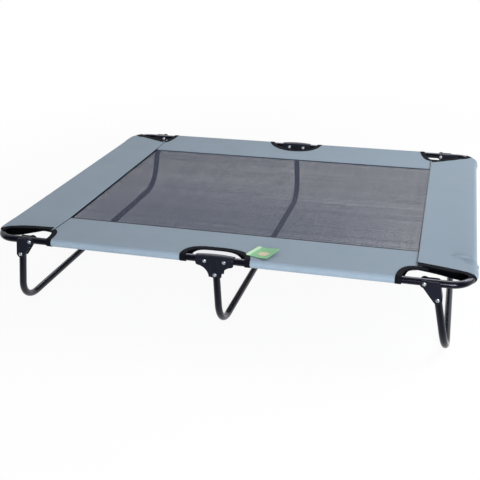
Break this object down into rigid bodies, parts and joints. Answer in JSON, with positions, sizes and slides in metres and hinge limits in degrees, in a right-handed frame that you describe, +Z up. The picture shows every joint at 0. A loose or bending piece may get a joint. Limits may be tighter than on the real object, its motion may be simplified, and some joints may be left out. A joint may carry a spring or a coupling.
{
  "type": "folding raised dog cot",
  "caption": "Raised dog cot with a hinged tube frame, folding U-shaped legs and a sewn cover with a mesh window.",
  "frame": {"origin": "on the floor under the middle of the cot", "axes": "+X along the cot's length, +Y across it towards the back in the picture, +Z up"},
  "size_m": [1.1, 0.8074, 0.1932],
  "materials": {
    "tubes": "gloss black powder coat",
    "brackets": "satin black paint",
    "rivets": "bright zinc",
    "border": "coated woven polyester",
    "mesh": "open woven mesh",
    "binding": "ribbed tape",
    "tag": "blank printed card"
  },
  "bodies": {
    "centre": {"centre_leg": "tubes", "centre_bracket_front": "brackets", "centre_bracket_back": "brackets", "centre_pivot_rivets": "rivets", "centre_leg_rivets": "rivets"},
    "left_half": {"frame_tube_left": "tubes", "end_panel_left": "border", "front_strip_left": "border", "back_strip_left": "border", "mesh_left": "mesh", "mesh_edging_left": "binding", "corner_binding_front_left": "binding", "corner_binding_back_left": "binding", "centre_binding_front_left": "binding", "centre_binding_back_left": "binding"},
    "right_half": {"frame_tube_right": "tubes", "end_panel_right": "border", "front_strip_right": "border", "back_strip_right": "border", "mesh_right": "mesh", "mesh_edging_right": "binding", "corner_binding_front_right": "binding", "corner_binding_back_right": "binding", "centre_binding_front_right": "binding", "centre_binding_back_right": "binding", "swing_tag": "tag"},
    "left_leg": {"end_leg_left": "tubes", "leg_bracket_front_left": "brackets", "leg_bracket_back_left": "brackets", "leg_rivets_left": "rivets", "leg_pivot_rivets_left": "rivets"},
    "right_leg": {"end_leg_right": "tubes", "leg_bracket_front_right": "brackets", "leg_bracket_back_right": "brackets", "leg_rivets_right": "rivets", "leg_pivot_rivets_right": "rivets"}
  },
  "joints": [
    {"name": "right_half_fold", "type": "hinge", "parent": "centre", "child": "right_half", "pos_m": [0.022, 0, 0.1807], "axis": [0, 1, 0], "range_deg": [0, 70]},
    {"name": "left_half_fold", "type": "hinge", "parent": "centre", "child": "left_half", "pos_m": [-0.022, 0, 0.1807], "axis": [0, -1, 0], "range_deg": [0, 70]},
    {"name": "right_leg_fold", "type": "hinge", "parent": "right_half", "child": "right_leg", "pos_m": [0.4462, 0, 0.1807], "axis": [0, 1, 0], "range_deg": [0, 100]},
    {"name": "left_leg_fold", "type": "hinge", "parent": "left_half", "child": "left_leg", "pos_m": [-0.4462, 0, 0.1807], "axis": [0, -1, 0], "range_deg": [0, 100]}
  ]
}
